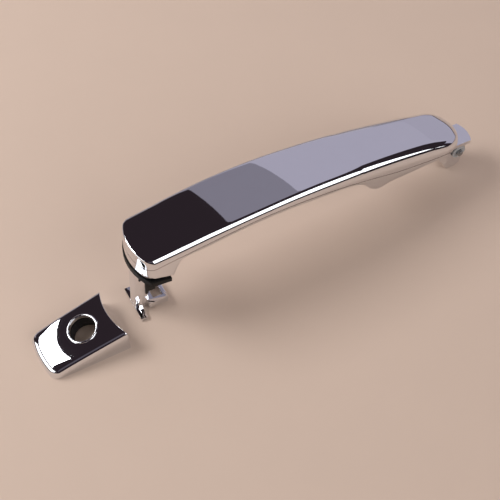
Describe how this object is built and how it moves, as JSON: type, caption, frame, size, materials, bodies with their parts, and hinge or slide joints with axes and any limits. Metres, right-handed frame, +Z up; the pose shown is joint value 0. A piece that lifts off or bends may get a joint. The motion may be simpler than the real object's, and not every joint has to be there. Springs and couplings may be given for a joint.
{
  "type": "car door handle",
  "caption": "Chrome pull handle for a car door, hinged at its front on a pin, with a rear leg ending in a T-shaped crossbar, and its separate wedge-shaped key-cylinder cover.",
  "frame": {"origin": "centre of the bounding box in plan, at the height of the surface the set stands on", "axes": "+X along the grip from its rear end to its hinge, +Z up, +Y to the side away from the cover's offset"},
  "size_m": [0.2736, 0.0402, 0.0611],
  "materials": {
    "chrome_plate": "mirror polished plating",
    "black_nylon": "moulded, matte",
    "black_rubber": "moulded, slightly shiny",
    "spring_steel": "ground",
    "zinc_screw": "zinc plated",
    "acetal": "moulded, grey"
  },
  "bodies": {
    "door_side": {"pivot_pin": "spring_steel", "rear_gasket": "black_rubber"},
    "grip": {"grip_outer_shell": "chrome_plate", "grip_inner_shell": "chrome_plate", "core_beam": "black_nylon", "pull_leg": "chrome_plate", "hinge_arm": "chrome_plate", "pivot_bush_near": "acetal", "pivot_bush_far": "acetal", "leg_screw_1": "zinc_screw", "leg_screw_2": "zinc_screw", "arm_screw_1": "zinc_screw", "arm_screw_2": "zinc_screw", "shell_screw_1": "zinc_screw", "shell_screw_2": "zinc_screw"},
    "cover": {"cover_shell": "chrome_plate", "cover_carrier": "black_nylon", "barrel_seal": "black_rubber", "cover_clip_1": "spring_steel", "cover_clip_2": "spring_steel", "cover_screw_1": "zinc_screw", "cover_screw_2": "zinc_screw"}
  },
  "joints": [
    {"name": "grip_pull", "type": "hinge", "parent": "door_side", "child": "grip", "pos_m": [0.12873, 0.0023, 0.01405], "axis": [0, 1, 0], "range_deg": [0, 8]},
    {"name": "cover_lift", "type": "slide", "parent": "door_side", "child": "cover", "axis": [0, 0, 1], "range_m": [0, 0.06]}
  ]
}
